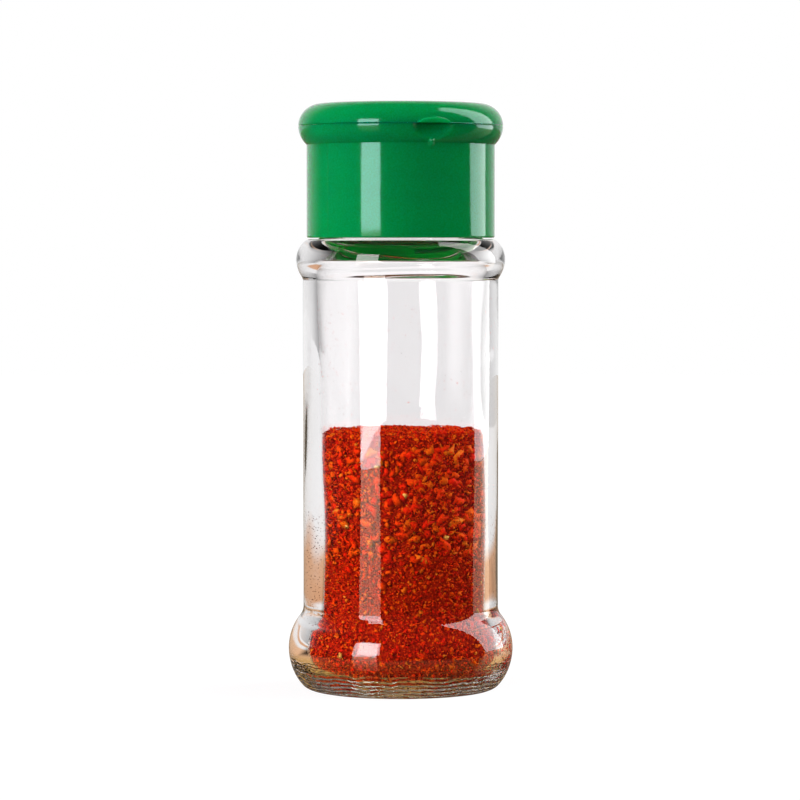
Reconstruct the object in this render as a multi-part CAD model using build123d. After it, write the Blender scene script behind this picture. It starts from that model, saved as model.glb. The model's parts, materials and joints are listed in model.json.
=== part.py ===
from build123d import *

import os
from math import pi, sqrt

# Spice jar: a round glass jar of chilli with a screw-on flip-top closure.
# Millimetres. +Z is up, the origin is the middle of the base, and the lid's thumb lip is at -Y.

# Glass body, straight from the waist to the shoulder bead
body_r = 19.55
body_wall = 3.05

# Glass foot: a standing ring round a pushed-up base, then a rounded bulge
foot_bulge = 2.95
foot_z = 8.1
foot_low_arc_r = 10.75
foot_high_arc_r = 10.3
foot_wall = 3.5
heel_arc_r = 2.5
ring_width = 3.2
push_up = 1.0
waist_arc_r = 3.0

# Shoulder bead: its flat top, and its widest line under that
shoulder_top_z = 89.6
shoulder_bulge = 1.25
shoulder_rise = 4.1
shoulder_low_arc_r = 6.0
shoulder_high_arc_r = 5.0
shoulder_edge_arc_r = 1.6
shoulder_foot_arc_r = 1.5

# Glass neck, with the plain bead under the closure's thread
neck_inset = 3.75
neck_wall = 2.6
neck_height = 17.9
neck_root_arc_r = 1.0
neck_bead_proud = 0.8
neck_bead_height = 2.2
neck_bead_lift = 3.0
rim_arc_r = 0.8

# Inside of the glass
floor_z = 2.0
floor_crown = 0.6
cavity_high_arc_r = 8.0
cavity_waist_arc_r = 5.0
cavity_flare_arc_r = 8.0
cavity_edge_arc_r = 1.0
cavity_edge_drop = 0.3
cavity_dome_arc_r = 5.0
cavity_dome_drop = 2.0
cavity_dome_reach = 1.1
cavity_neck_arc_r = 2.2

# Contents: depth at the glass, the low heap in the middle, and the play beside the glass
fill_depth = 49.4
fill_heap = 0.9
fill_clearance = 0.2

# Ring liner between the rim and the closure's deck
liner_thickness = 1.0
liner_rim_cover = 0.2
liner_clearance = 0.3

# Collar: skirt, flared bead and the deck set down into it
thread_space = 1.35
skirt_wall = 1.55
skirt_clearance = 0.25
skirt_edge_arc_r = 0.4
bead_flare = 1.65
bead_arc_r = 5.0
deck_thickness = 1.4
recess_depth = 2.05
recess_ledge = 0.6
seam_gap = 0.1

# Sifter holes in the deck: one in the middle of a ring of them
sifter_hole_r = 3.0
sifter_pitch_r = 8.5
sifter_ring_count = 6

# Cored channel that keeps the collar's bead an even thickness
core_inner_wall = 1.1
core_width = 1.3
core_depth = 2.5
core_front_half_angle = 22
core_rear_half_angle = 20

# Scooped finger recess at the front, and the moulding's gate pip under it
scoop_r = 7.0
scoop_depth = 1.95
scoop_rise = 0.5
pip_r = 0.55
pip_proud = 0.5
pip_edge_r = 0.3

# Flip lid: domed edge, flat top, and the plug ring that closes the recess
lid_arc_r = 4.4
lid_wall = 1.4
plug_clearance = 0.1
plug_wall = 1.2
plug_floor_gap = 1.0
plug_tip_arc_r = 0.4

# Thumb lip on the lid
lip_width = 6.4
lip_height = 1.1
lip_proud = 0.9
lip_edge_r = 0.25

# Living hinge: a half ring of film on flats cut across the back of both mouldings
hinge_flat_depth = 0.75
hinge_arc_r = 0.45
hinge_film = 0.25
hinge_width = 7.6

# Sizes of the glass that follow from those
foot_r = body_r + foot_bulge
shoulder_r = body_r + shoulder_bulge
shoulder_z = shoulder_top_z - shoulder_rise
neck_r = body_r - neck_inset
bore_r = neck_r - neck_wall
rim_z = shoulder_top_z + neck_height
fill_z = floor_z + fill_depth

# Sizes of the closure, which follow the neck that it screws on to
skirt_in_r = neck_r + thread_space
skirt_out_r = skirt_in_r + skirt_wall
skirt_z = shoulder_top_z + skirt_clearance
bead_r = skirt_out_r + bead_flare
deck_under_z = rim_z + liner_thickness
deck_z = deck_under_z + deck_thickness
recess_r = skirt_in_r - recess_ledge
land_z = deck_z + recess_depth
seam_z = land_z + seam_gap / 2
lid_rim_z = seam_z + seam_gap / 2
hinge_y = bead_r - hinge_flat_depth


def at(r, z):
    return Vector(r, 0, z)


def circle_r(centre, radius, z):
    # radius from the jar's axis to the outer side of a section circle, at height z
    return centre.X + sqrt(radius**2 - (z - centre.Z) ** 2)


def towards(start, end, distance):
    return start + (end - start).normalized() * distance


def arc(centre, start, end):
    # the shorter arc about a centre, from start to end
    radius = (start - centre).length
    return ThreePointArc(start, towards(centre, (start + end) / 2, radius), end)


def turned(edges):
    # a full turn about the jar's axis of the section that the edges close
    return revolve(make_face(edges), Axis.Z)


def waist_centre(bulge_centre, bulge_arc_r, wall_r, fillet_r, side):
    # centre of the hollow arc that joins a bulge to a straight wall, above it (1) or below it (-1)
    r = wall_r + fillet_r
    rise = sqrt((bulge_arc_r + fillet_r) ** 2 - (r - bulge_centre.X) ** 2)
    return at(r, bulge_centre.Z + side * rise)


def inner_arc_centre(big_centre, big_arc_r, small_arc_r, z):
    # centre of a smaller arc that lies inside a bigger one, touches it and is centred at height z
    reach = big_arc_r - small_arc_r
    return at(big_centre.X + sqrt(reach**2 - (z - big_centre.Z) ** 2), z)


def outer_edges():
    # the glass's outside, from the axis under the base to the rim's flat
    low = at(foot_r - foot_low_arc_r, foot_z)
    high = at(foot_r - foot_high_arc_r, foot_z)
    heel = inner_arc_centre(low, foot_low_arc_r, heel_arc_r, heel_arc_r)
    ring_inner_r = heel.X - ring_width
    dome_r = (ring_inner_r**2 + push_up**2) / (2 * push_up)
    waist = waist_centre(high, foot_high_arc_r, body_r, waist_arc_r, 1)
    heel_end = towards(low, heel, foot_low_arc_r)
    waist_start = towards(high, waist, foot_high_arc_r)

    bead_low = at(shoulder_r - shoulder_low_arc_r, shoulder_z)
    bead_high = at(shoulder_r - shoulder_high_arc_r, shoulder_z)
    under = waist_centre(bead_low, shoulder_low_arc_r, body_r, shoulder_foot_arc_r, -1)
    edge = inner_arc_centre(
        bead_high, shoulder_high_arc_r, shoulder_edge_arc_r, shoulder_top_z - shoulder_edge_arc_r
    )
    under_end = towards(bead_low, under, shoulder_low_arc_r)
    edge_start = towards(bead_high, edge, shoulder_high_arc_r)

    root_r = neck_r + neck_root_arc_r
    root_z = shoulder_top_z + neck_root_arc_r
    rim = at(neck_r - rim_arc_r, rim_z - rim_arc_r)
    bead_z = shoulder_top_z + neck_bead_lift
    bead_bottom = bead_z - neck_bead_height / 2
    bead_top = bead_z + neck_bead_height / 2
    return [
        arc(at(0, push_up - dome_r), at(0, push_up), at(ring_inner_r, 0)),
        Line(at(ring_inner_r, 0), at(heel.X, 0)),
        arc(heel, at(heel.X, 0), heel_end),
        arc(low, heel_end, at(foot_r, foot_z)),
        arc(high, at(foot_r, foot_z), waist_start),
        arc(waist, waist_start, at(body_r, waist.Z)),
        Line(at(body_r, waist.Z), at(body_r, under.Z)),
        arc(under, at(body_r, under.Z), under_end),
        arc(bead_low, under_end, at(shoulder_r, shoulder_z)),
        arc(bead_high, at(shoulder_r, shoulder_z), edge_start),
        arc(edge, edge_start, at(edge.X, shoulder_top_z)),
        Line(at(edge.X, shoulder_top_z), at(root_r, shoulder_top_z)),
        arc(at(root_r, root_z), at(root_r, shoulder_top_z), at(neck_r, root_z)),
        Line(at(neck_r, root_z), at(neck_r, bead_bottom)),
        ThreePointArc(at(neck_r, bead_bottom), at(neck_r + neck_bead_proud, bead_z), at(neck_r, bead_top)),
        Line(at(neck_r, bead_top), at(neck_r, rim.Z)),
        arc(rim, at(neck_r, rim.Z), at(rim.X, rim_z)),
    ]


def cavity_low_edges(inset):
    # the cavity's floor and bulge, from the axis to the foot of its straight wall, drawn in by inset
    wall_r = body_r - body_wall - inset
    bulge_r = foot_r - foot_wall - inset
    level = floor_z + inset
    low_arc_r = foot_z - level
    high_arc_r = cavity_high_arc_r - inset
    low = at(bulge_r - low_arc_r, foot_z)
    high = at(bulge_r - high_arc_r, foot_z)
    waist = waist_centre(high, high_arc_r, wall_r, cavity_waist_arc_r + inset, 1)
    waist_start = towards(high, waist, high_arc_r)
    crown_r = (low.X**2 + floor_crown**2) / (2 * floor_crown)
    return [
        arc(at(0, level + floor_crown - crown_r), at(0, level + floor_crown), at(low.X, level)),
        arc(low, at(low.X, level), at(bulge_r, foot_z)),
        arc(high, at(bulge_r, foot_z), waist_start),
        arc(waist, waist_start, at(wall_r, waist.Z)),
    ]


def cavity_high_edges(foot):
    # from the foot of the straight wall, through the flare and dome under the shoulder, to the rim's flat
    dome = at(foot.X + cavity_dome_reach - cavity_dome_arc_r, shoulder_z - cavity_dome_drop)
    edge = inner_arc_centre(dome, cavity_dome_arc_r, cavity_edge_arc_r, shoulder_z - cavity_edge_drop)
    flare = waist_centre(edge, cavity_edge_arc_r, foot.X, cavity_flare_arc_r, -1)
    neck = waist_centre(dome, cavity_dome_arc_r, bore_r, cavity_neck_arc_r, 1)
    flare_end = towards(edge, flare, cavity_edge_arc_r)
    dome_start = towards(dome, edge, cavity_dome_arc_r)
    neck_start = towards(dome, neck, cavity_dome_arc_r)
    rim = at(bore_r + rim_arc_r, rim_z - rim_arc_r)
    return [
        Line(foot, at(foot.X, flare.Z)),
        arc(flare, at(foot.X, flare.Z), flare_end),
        arc(edge, flare_end, dome_start),
        arc(dome, dome_start, neck_start),
        arc(neck, neck_start, at(bore_r, neck.Z)),
        Line(at(bore_r, neck.Z), at(bore_r, rim.Z)),
        arc(rim, at(bore_r, rim.Z), at(rim.X, rim_z)),
    ]


def jar_glass():
    outside = outer_edges()
    low = cavity_low_edges(0)
    high = cavity_high_edges(low[-1] @ 1)
    rim = Line(outside[-1] @ 1, high[-1] @ 1)
    axis = Line(outside[0] @ 0, low[0] @ 0)
    return turned([*outside, rim, *high, *low, axis])


def spice_fill():
    # the cavity's shape up to the fill level, with the clearance all round and a low heap on top
    low = cavity_low_edges(fill_clearance)
    foot = low[-1] @ 1
    heap_r = (foot.X**2 + fill_heap**2) / (2 * fill_heap)
    edge, peak = at(foot.X, fill_z), at(0, fill_z + fill_heap)
    heap = arc(peak - at(0, heap_r), edge, peak)
    return turned([*low, Line(foot, edge), heap, Line(peak, low[0] @ 0)])


def seal_washer():
    inner_r = bore_r + liner_rim_cover
    outer_r = skirt_in_r - liner_clearance
    ring = Cylinder(outer_r, liner_thickness) - Cylinder(inner_r, liner_thickness)
    return Pos(0, 0, rim_z + liner_thickness / 2) * ring


def behind_hinge_flat():
    # all that lies behind the plane that trims the back of the closure
    side = 2 * bead_r
    return Pos(0, hinge_y + bead_r, seam_z) * Box(side, side, side)


def core_channel():
    # half of the channel, an open curve of it from beside the scoop to beside the hinge
    inner_r = recess_r + core_inner_wall
    section = Rectangle(core_width, 2 * core_depth)
    section = Plane.XZ * Pos(inner_r + core_width / 2, land_z) * section
    sweep_angle = 180 - core_front_half_angle - core_rear_half_angle
    return Rot(0, 0, core_front_half_angle - 90) * revolve(section, Axis.Z, sweep_angle)


def screw_collar():
    bead = at(bead_r - bead_arc_r, seam_z)
    corner = at(skirt_out_r, seam_z - sqrt(bead_arc_r**2 - (skirt_out_r - bead.X) ** 2))
    land = at(circle_r(bead, bead_arc_r, land_z), land_z)
    edge = at(skirt_out_r - skirt_edge_arc_r, skirt_z + skirt_edge_arc_r)
    walls = [
        Line(at(skirt_in_r, skirt_z), at(edge.X, skirt_z)),
        arc(edge, at(edge.X, skirt_z), at(skirt_out_r, edge.Z)),
        Line(at(skirt_out_r, edge.Z), corner),
        arc(bead, corner, land),
        Polyline(
            land,
            at(recess_r, land_z),
            at(recess_r, deck_z),
            at(0, deck_z),
            at(0, deck_under_z),
            at(skirt_in_r, deck_under_z),
            at(skirt_in_r, skirt_z),
        ),
    ]
    collar = turned(walls)

    channel = core_channel()
    collar -= channel
    collar -= mirror(channel, Plane.YZ)

    hole = Cylinder(sifter_hole_r, 2 * deck_thickness)
    places = [Pos(0, 0), *PolarLocations(sifter_pitch_r, sifter_ring_count)]
    collar -= [Pos(0, 0, deck_z) * place * hole for place in places]

    scoop = Pos(0, -(bead_r - scoop_depth + scoop_r), seam_z + scoop_rise) * Sphere(scoop_r)
    collar -= scoop
    collar -= behind_hinge_flat()

    pip_length = skirt_wall / 2 + pip_proud
    pip = Cylinder(pip_r, pip_length)
    pip = fillet(pip.edges().sort_by(Axis.Z)[-1], pip_edge_r)
    return collar + Pos(0, -(skirt_out_r + pip_proud - pip_length / 2), corner.Z) * Rot(90, 0, 0) * pip


def thumb_lip():
    # a round-ended bar along the seam, its front on a circle round the jar's axis
    front_r = bead_r + lip_proud
    bar = Plane.XZ * Pos(0, lid_rim_z + lip_height / 2) * SlotOverall(lip_width, lip_height)
    around = Cylinder(front_r, 4 * lip_height) - Cylinder(bead_r - lid_wall / 2, 4 * lip_height)
    lip = extrude(bar, front_r) & Pos(0, 0, seam_z) * around
    front = lip.edges().filter_by(lambda edge: edge.center().Y < lip_proud / 2 - front_r)
    return fillet(front, lip_edge_r)


def flip_lid():
    dome = at(bead_r - lid_arc_r, seam_z)
    top_z = seam_z + lid_arc_r
    inner_arc_r = lid_arc_r - lid_wall
    under_z = seam_z + inner_arc_r
    outer_rim = at(circle_r(dome, lid_arc_r, lid_rim_z), lid_rim_z)
    inner_rim = at(circle_r(dome, inner_arc_r, lid_rim_z), lid_rim_z)
    lid = turned(
        [
            Line(at(0, under_z), at(0, top_z)),
            Line(at(0, top_z), at(dome.X, top_z)),
            arc(dome, at(dome.X, top_z), outer_rim),
            Line(outer_rim, inner_rim),
            arc(dome, inner_rim, at(dome.X, under_z)),
            Line(at(dome.X, under_z), at(0, under_z)),
        ]
    )

    plug_r = recess_r - plug_clearance
    plug_in_r = plug_r - plug_wall
    plug_tip_z = deck_z + plug_floor_gap
    root_z = under_z + lid_wall / 2
    tip = at(plug_r - plug_tip_arc_r, plug_tip_z + plug_tip_arc_r)
    lid += turned(
        [
            Line(at(plug_r, tip.Z), at(plug_r, root_z)),
            Line(at(plug_r, root_z), at(plug_in_r, root_z)),
            Line(at(plug_in_r, root_z), at(plug_in_r, plug_tip_z)),
            Line(at(plug_in_r, plug_tip_z), at(tip.X, plug_tip_z)),
            arc(tip, at(tip.X, plug_tip_z), at(plug_r, tip.Z)),
        ]
    )
    return lid + thumb_lip() - behind_hinge_flat()


def living_hinge():
    # half a ring of film, as the hinge stands when the lid is shut
    outer_r = hinge_arc_r + hinge_film / 2
    inner_r = hinge_arc_r - hinge_film / 2
    ring = Rot(0, 90, 0) * (Cylinder(outer_r, hinge_width) - Cylinder(inner_r, hinge_width))
    half = Pos(0, outer_r, 0) * Box(hinge_width, 2 * outer_r, 2 * outer_r)
    return Pos(0, hinge_y, seam_z) * (ring & half)


nodes = {
    "jar_glass": jar_glass,
    "spice_fill": spice_fill,
    "seal_washer": seal_washer,
    "screw_collar": screw_collar,
    "flip_lid": flip_lid,
    "living_hinge": living_hinge,
}

os.makedirs("parts", exist_ok=True)
for name, make in nodes.items():
    export_step(make(), f"parts/{name}.step")

# The lid turns about the middle of the opened film, which lies level with the seam
print("hinge axis at y", round(hinge_y + pi * hinge_arc_r / 2, 4), "z", seam_z)
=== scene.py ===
import json
from math import atan2, ceil, cos, hypot, pi, radians, sin, sqrt, tan

import bmesh
import bpy
import numpy as np
from mathutils import Matrix, Vector, noise


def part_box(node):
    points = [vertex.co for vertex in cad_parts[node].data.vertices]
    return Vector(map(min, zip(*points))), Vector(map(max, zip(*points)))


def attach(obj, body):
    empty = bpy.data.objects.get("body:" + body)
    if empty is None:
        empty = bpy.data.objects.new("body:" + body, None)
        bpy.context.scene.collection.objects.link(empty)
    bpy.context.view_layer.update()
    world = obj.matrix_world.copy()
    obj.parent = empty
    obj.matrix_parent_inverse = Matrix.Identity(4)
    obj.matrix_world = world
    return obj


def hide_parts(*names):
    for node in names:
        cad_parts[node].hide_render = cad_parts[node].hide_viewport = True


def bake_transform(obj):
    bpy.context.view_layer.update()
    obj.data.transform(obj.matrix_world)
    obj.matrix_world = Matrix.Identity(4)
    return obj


# Spice jar: clear glass jar of ground chilli with a green screw collar and a hinged flip lid.
# Dictionaries of sizes hold millimetres, those of looks and lights metres; every mesh is in metres.

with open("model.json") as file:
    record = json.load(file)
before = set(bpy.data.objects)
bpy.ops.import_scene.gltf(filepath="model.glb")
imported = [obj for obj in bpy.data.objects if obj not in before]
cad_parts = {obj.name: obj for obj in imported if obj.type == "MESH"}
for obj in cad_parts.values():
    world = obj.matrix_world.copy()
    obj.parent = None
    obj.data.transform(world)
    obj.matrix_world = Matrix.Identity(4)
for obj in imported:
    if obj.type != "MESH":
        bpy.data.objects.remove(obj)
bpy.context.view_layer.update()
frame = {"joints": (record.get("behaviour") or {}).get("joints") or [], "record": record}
mm = 0.001
joints = {joint["name"]: joint for joint in frame["joints"]}
threadLead = frame["record"]["behaviour"]["couplings"][0]["ratio"] * 2 * pi / mm
frontAngle = -pi / 2     # the thumb lip is at -Y
print("frame loaded, thread lead", round(threadLead, 3), "mm")


def nodeBox(name):
    # lowest and highest corner of a plain node, in millimetres
    low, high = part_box(name)
    return Vector(low) / mm, Vector(high) / mm


glassHigh = nodeBox("jar_glass")[1]
collarLow, collarHigh = nodeBox("screw_collar")
lidLow, lidHigh = nodeBox("flip_lid")
linerLow, linerHigh = nodeBox("seal_washer")
seamZ = joints["lid_flip"]["pos_m"][2] / mm


# Outlines: lists of (radius, height) points, in millimetres

def at(r, z):
    return Vector((r, z))


def towards(start, end, distance):
    return start + (end - start).normalized() * distance


def arcTo(points, centre, end, step):
    # adds the shorter arc about centre, from the last point to end, at about step degrees a point
    start = points[-1]
    first = atan2(start.y - centre.y, start.x - centre.x)
    turn = atan2(end.y - centre.y, end.x - centre.x) - first
    turn = (turn + pi) % (2 * pi) - pi
    radius = (start - centre).length
    count = max(2, ceil(abs(turn) / radians(step)))
    for i in range(1, count + 1):
        angle = first + turn * i / count
        points.append(centre + at(cos(angle), sin(angle)) * radius)


def lineTo(points, end, count=1):
    start = points[-1]
    points += [start.lerp(end, i / count) for i in range(1, count + 1)]


def softened(corners, step):
    # rounds each (point, radius) corner of an outline that closes, or that starts and ends on the axis
    points = []
    count = len(corners)
    for i, (corner, radius) in enumerate(corners):
        before, after = corners[i - 1][0], corners[(i + 1) % count][0]
        if radius == 0:
            points.append(corner)
            continue
        toBefore, toAfter = (before - corner).normalized(), (after - corner).normalized()
        half = toBefore.angle(toAfter) / 2
        reach = radius / tan(half)
        centre = corner + (toBefore + toAfter).normalized() * (radius / sin(half))
        points.append(corner + toBefore * reach)
        arcTo(points, centre, corner + toAfter * reach, step)
    return points


def evenly(count):
    return [2 * pi * i / count for i in range(count)]


def sceneObject(name, data):
    piece = bpy.data.objects.new(name, data)
    bpy.context.scene.collection.objects.link(piece)
    return piece


def meshObject(name, verts, faces, material, smoothAngle):
    mesh = bpy.data.meshes.new(name)
    mesh.from_pydata(verts, [], faces)
    if material:
        mesh.materials.append(material)
    piece = sceneObject(name, mesh)
    tidyMesh(piece, smoothAngle)
    return piece


def tidyMesh(piece, smoothAngle):
    # outward faces, and smooth shading that breaks at edges sharper than this many degrees
    work = bmesh.new()
    work.from_mesh(piece.data)
    bmesh.ops.remove_doubles(work, verts=work.verts, dist=1e-7)
    bmesh.ops.recalc_face_normals(work, faces=work.faces)
    work.to_mesh(piece.data)
    work.free()
    piece.data.shade_smooth()
    piece.data.set_sharp_from_angle(angle=radians(smoothAngle))


def lathe(name, outline, angles, material, reshape=None, smoothAngle=35):
    # turns an outline about the Z axis; an outline off the axis at both ends closes on itself
    verts, rows = [], []
    for point in outline:
        if point.x < 1e-6:    # on the axis
            rows.append([len(verts)])
            verts.append((0, 0, point.y * mm))
            continue
        rows.append(range(len(verts), len(verts) + len(angles)))
        for angle in angles:
            r, z = reshape(point.x, point.y, angle) if reshape else point
            verts.append((r * cos(angle) * mm, r * sin(angle) * mm, z * mm))
    if len(rows[0]) > 1:
        rows.append(rows[0])
    faces = []
    for low, high in zip(rows, rows[1:]):
        for i in range(len(angles)):
            j = (i + 1) % len(angles)
            corners = [low[i % len(low)], low[j % len(low)], high[j % len(high)], high[i % len(high)]]
            faces.append(list(dict.fromkeys(corners)))
    return meshObject(name, verts, faces, material, smoothAngle)


def softMin(a, b, blend):
    near = max(blend - abs(a - b), 0) / blend
    return min(a, b) - near * near * blend / 4


def smoothStep(low, high, value):
    t = min(max((value - low) / (high - low), 0), 1)
    return t * t * (3 - 2 * t)


# Node building, for shaders and for Geometry Nodes

def setInputs(tree, node, **links):
    # each input, by name or as i and its number, from a value or from another node's socket
    for key, value in links.items():
        socket = node.inputs[int(key[1:])] if key[1:].isdigit() else node.inputs[key.replace("_", " ")]
        if isinstance(value, bpy.types.NodeSocket):
            tree.links.new(value, socket)
        else:
            socket.default_value = value


def addNode(tree, kind, settings=None, **links):
    node = tree.nodes.new(kind)
    for key, value in (settings or {}).items():
        setattr(node, key, value)
    setInputs(tree, node, **links)
    return node


def mathNode(tree, operation, *values, clamp=False):
    links = {f"i{i}": value for i, value in enumerate(values)}
    return addNode(tree, "ShaderNodeMath", {"operation": operation, "use_clamp": clamp}, **links).outputs[0]


def vectorMath(tree, operation, *values, output="Vector"):
    links = {f"i{i}": value for i, value in enumerate(values)}
    return addNode(tree, "ShaderNodeVectorMath", {"operation": operation}, **links).outputs[output]


def mapRange(tree, value, fromMin, fromMax, toMin, toMax, shape="SMOOTHSTEP"):
    return addNode(
        tree, "ShaderNodeMapRange", {"interpolation_type": shape}, Value=value,
        From_Min=fromMin, From_Max=fromMax, To_Min=toMin, To_Max=toMax,
    ).outputs["Result"]


def choose(tree, factor, plain, other):
    return addNode(tree, "ShaderNodeMix", {"data_type": "FLOAT"}, i0=factor, i2=plain, i3=other).outputs[0]


def mixShaders(tree, share, first, second):
    return addNode(tree, "ShaderNodeMixShader", i0=share, i1=first.outputs[0], i2=second.outputs[0])


def objectPlace(tree):
    return addNode(tree, "ShaderNodeTexCoord").outputs["Object"]


def bumpNormal(tree, height, strength, distance, **under):
    node = addNode(tree, "ShaderNodeBump", Height=height, Strength=strength, Distance=distance, **under)
    return node.outputs["Normal"]


def nodeMaterial(name, colour):
    material = bpy.data.materials.new(name)
    material.use_nodes = True
    material.diffuse_color = (*colour, 1)
    tree = material.node_tree
    shader = tree.nodes["Principled BSDF"]
    setInputs(tree, shader, Base_Color=(*colour, 1))
    return material, tree, shader


def colourRamp(tree, factor, stops):
    ramp = addNode(tree, "ShaderNodeValToRGB", Fac=factor)
    for i, (place, colour) in enumerate(stops):
        stop = ramp.color_ramp.elements[i] if i < 2 else ramp.color_ramp.elements.new(place)
        stop.position = place
        stop.color = (*colour, 1)
    return ramp.outputs["Color"]


def shaderGroup(name, inputs, outputs):
    group = bpy.data.node_groups.new(name, "ShaderNodeTree")
    for key, value in inputs.items():
        socket = group.interface.new_socket(key, in_out="INPUT", socket_type="NodeSocketFloat")
        socket.default_value = value
    for key in outputs:
        group.interface.new_socket(key, in_out="OUTPUT", socket_type="NodeSocketFloat")
    return group, group.nodes.new("NodeGroupInput").outputs, group.nodes.new("NodeGroupOutput").inputs


def buildMouldedRelief():
    # the slow ripple and fine grain of a moulded surface, as a height and a 0 to 1 grain mask
    group, given, wanted = shaderGroup(
        "mouldedRelief", {"rippleScale": 60, "grainScale": 2500, "grainShare": 0.25}, ["Height", "Grain"]
    )
    place = objectPlace(group)
    ripple = addNode(group, "ShaderNodeTexNoise", Vector=place, Scale=given["rippleScale"], Detail=2.0)
    grain = addNode(group, "ShaderNodeTexNoise", Vector=place, Scale=given["grainScale"], Detail=3.0)
    share = mathNode(group, "MULTIPLY", grain.outputs["Fac"], given["grainShare"])
    height = mathNode(group, "ADD", ripple.outputs["Fac"], share)
    group.links.new(height, wanted["Height"])
    group.links.new(grain.outputs["Fac"], wanted["Grain"])
    return group


mouldedRelief = buildMouldedRelief()


def reliefNode(tree, values):
    return addNode(tree, "ShaderNodeGroup", {"node_tree": mouldedRelief}, **values).outputs


# Materials

greenPlasticLook = {
    "colour": (0.0, 0.275, 0.075), "deepColour": (0.0, 0.235, 0.045), "deepTo": 0.35, "colourFrom": 0.65,
    "roughness": (0.06, 0.12), "ior": 1.5, "shineTint": (0.6, 0.97, 1.0),
    "relief": {"rippleScale": 90, "grainScale": 3000, "grainShare": 0.06},
    "reliefStrength": 0.35, "reliefDistance": 0.00005,
    # the mould's parting line: its turn from the front, half its width, its rise over the relief and its top
    "lineDegrees": -67.8, "lineWidth": 0.00016, "lineRise": 1.8, "lineTop": 0.108,
    # the share of light that goes into the plastic, how far its red, green and blue get as shares of a
    # depth, and that depth in a moulded wall and in the hinge film
    "lightShare": 0.75, "lightReach": (0.2, 1.0, 0.45), "wallDepth": 0.01, "filmDepth": 0.0006,
}


def greenPlastic(name, depth):
    look = greenPlasticLook
    material, tree, shader = nodeMaterial(name, look["colour"])
    relief = reliefNode(tree, look["relief"])
    stops = [(look["deepTo"], look["deepColour"]), (look["colourFrom"], look["colour"])]
    # the parting line, a faint upright ridge on two sides of the skirt
    turn = frontAngle + radians(look["lineDegrees"])
    place = objectPlace(tree)
    across = vectorMath(tree, "DOT_PRODUCT", place, (-sin(turn), cos(turn), 0), output="Value")
    line = mapRange(tree, mathNode(tree, "ABSOLUTE", across), 0.0, look["lineWidth"], look["lineRise"], 0.0)
    height = addNode(tree, "ShaderNodeSeparateXYZ", i0=place).outputs["Z"]
    below = mathNode(tree, "LESS_THAN", height, look["lineTop"])
    ridge = mathNode(tree, "MULTIPLY_ADD", line, below, relief["Height"])
    setInputs(
        tree, shader, IOR=look["ior"], Specular_Tint=(*look["shineTint"], 1),
        Base_Color=colourRamp(tree, relief["Grain"], stops),
        Roughness=mapRange(tree, relief["Grain"], 0.0, 1.0, *look["roughness"], shape="LINEAR"),
        Normal=bumpNormal(tree, ridge, look["reliefStrength"], look["reliefDistance"]),
        Subsurface_Weight=look["lightShare"], Subsurface_Radius=look["lightReach"], Subsurface_Scale=depth,
    )
    return material


glassLook = {
    "tint": (0.993, 0.98, 0.986), "roughness": 0.0, "ior": 1.5,
    "relief": {"rippleScale": 70, "grainScale": 900, "grainShare": 0.03},
    "reliefStrength": 0.3, "reliefDistance": 0.00004,
    # the uneven rings that the mould leaves round the base; they fade out from a share of ringTop up to it
    "ringPitch": 0.0013, "ringDistance": 0.00015, "ringTop": 0.0052, "ringFullShare": 0.6,
    "driftScale": 220.0, "driftSwing": 14.0,
}


def clearGlass():
    look = glassLook
    material, tree, shader = nodeMaterial("clearGlass", look["tint"])
    relief = reliefNode(tree, look["relief"])
    ripple = bumpNormal(tree, relief["Height"], look["reliefStrength"], look["reliefDistance"])
    place = objectPlace(tree)
    height = addNode(tree, "ShaderNodeSeparateXYZ", i0=place).outputs["Z"]
    reach = vectorMath(tree, "LENGTH", vectorMath(tree, "MULTIPLY", place, (1, 1, 0)), output="Value")
    drift = addNode(tree, "ShaderNodeTexNoise", Vector=place, Scale=look["driftScale"], Detail=3.0)
    swing = mathNode(tree, "MULTIPLY", drift.outputs["Fac"], look["driftSwing"])
    along = mathNode(tree, "ADD", reach, height)
    wave = mathNode(tree, "SINE", mathNode(tree, "MULTIPLY_ADD", along, 2 * pi / look["ringPitch"], swing))
    fade = mapRange(tree, height, look["ringTop"] * look["ringFullShare"], look["ringTop"], 1.0, 0.0)
    rings = mathNode(tree, "MULTIPLY", wave, fade)
    setInputs(
        tree, shader, Roughness=look["roughness"], IOR=look["ior"], Transmission_Weight=1.0,
        Normal=bumpNormal(tree, rings, 1.0, look["ringDistance"], Normal=ripple),
    )
    # light for what is inside passes straight through, instead of as noisy caustics
    path = addNode(tree, "ShaderNodeLightPath").outputs
    indirect = mathNode(tree, "MAXIMUM", path["Is Shadow Ray"], path["Is Diffuse Ray"])
    clear = addNode(tree, "ShaderNodeBsdfTransparent", Color=(1, 1, 1, 1))
    mixed = mixShaders(tree, indirect, shader, clear)
    setInputs(tree, tree.nodes["Material Output"], Surface=mixed.outputs[0])
    return material


# the chilli's finishes; colour stops run from the deepest to the palest
chilliLooks = {
    "chilliBed": {
        # a deeper red than the flakes: partly the powder's own colour, partly painted shade in the gaps
        # between flakes
        "middle": (0.2, 0.011, 0.001), "noiseScale": 1900.0, "roughness": 0.8, "tinted": False,
        "stops": [(0.3, (0.18, 0.005, 0.001)), (0.55, (0.5, 0.014, 0.001)), (0.75, (0.8, 0.07, 0.003))],
    },
    "chilliFlake": {
        "middle": (0.5, 0.03, 0.002), "noiseScale": 1500.0, "roughness": 0.45, "tinted": True,
        "stops": [
            (0.0, (0.06, 0.004, 0.001)), (0.16, (0.44, 0.008, 0.0008)), (0.36, (0.92, 0.016, 0.0008)),
            (0.66, (0.98, 0.06, 0.001)), (0.9, (0.98, 0.15, 0.003)), (1.0, (0.98, 0.33, 0.03)),
        ],
    },
    "chilliSeed": {
        "middle": (0.8, 0.45, 0.12), "noiseScale": 1200.0, "roughness": 0.5, "tinted": False,
        "stops": [(0.35, (0.75, 0.22, 0.02)), (0.65, (0.95, 0.58, 0.13))],
    },
}
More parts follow.
